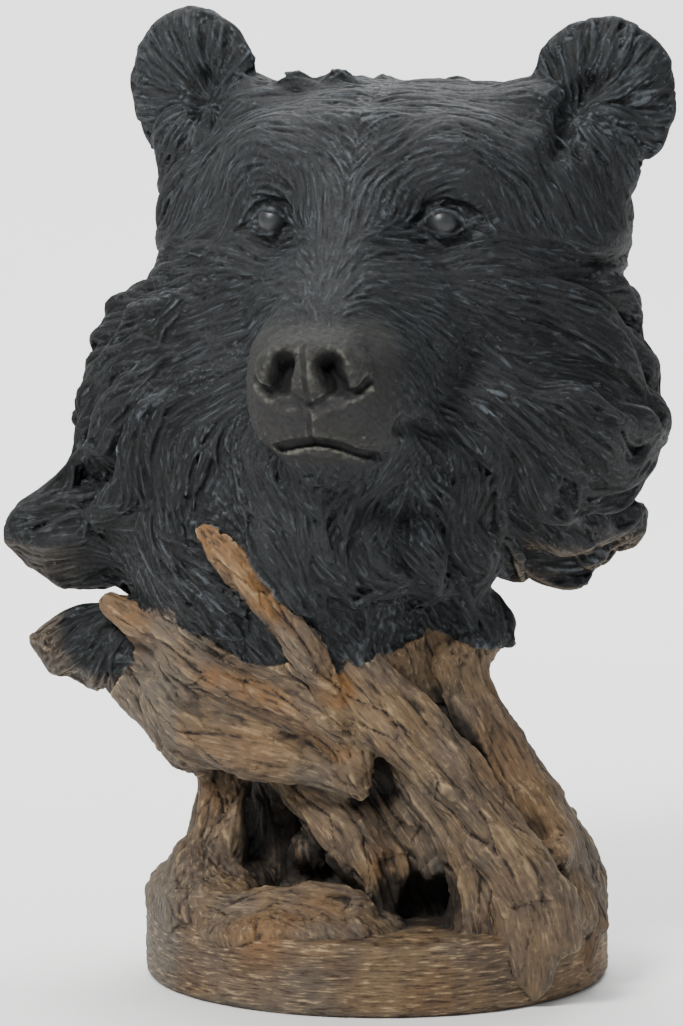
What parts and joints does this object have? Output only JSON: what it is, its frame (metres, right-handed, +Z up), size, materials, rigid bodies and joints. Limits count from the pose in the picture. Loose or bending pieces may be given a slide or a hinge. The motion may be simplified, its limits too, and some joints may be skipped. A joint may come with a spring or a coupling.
{
  "type": "bear bust statue",
  "caption": "Cast bust of a bear, its carved mane running down into twisted driftwood on a flat round foot, for standing on a shelf or desk.",
  "frame": {"origin": "centre of the round foot's flat underside", "axes": "+Z up, -Y towards the viewer and the bear's chest, +X to the viewer's right; the head is turned to the viewer's left"},
  "size_m": [0.2159, 0.1747, 0.3135],
  "materials": {
    "charcoal_fur": "hand-painted charcoal grey, dry-brushed with blue grey on the raised hair, matt to satin",
    "driftwood_paint": "cast in the same resin and painted brown and tan, with golden brown on the raised grain and dark washes",
    "muzzle_paint": "dark olive brown, satin, over the short hair of the muzzle and the nose",
    "eye_gloss": "near-black eyeballs under a clear gloss"
  },
  "bodies": {
    "root": {"bear_statue": "charcoal_fur"}
  },
  "joints": []
}
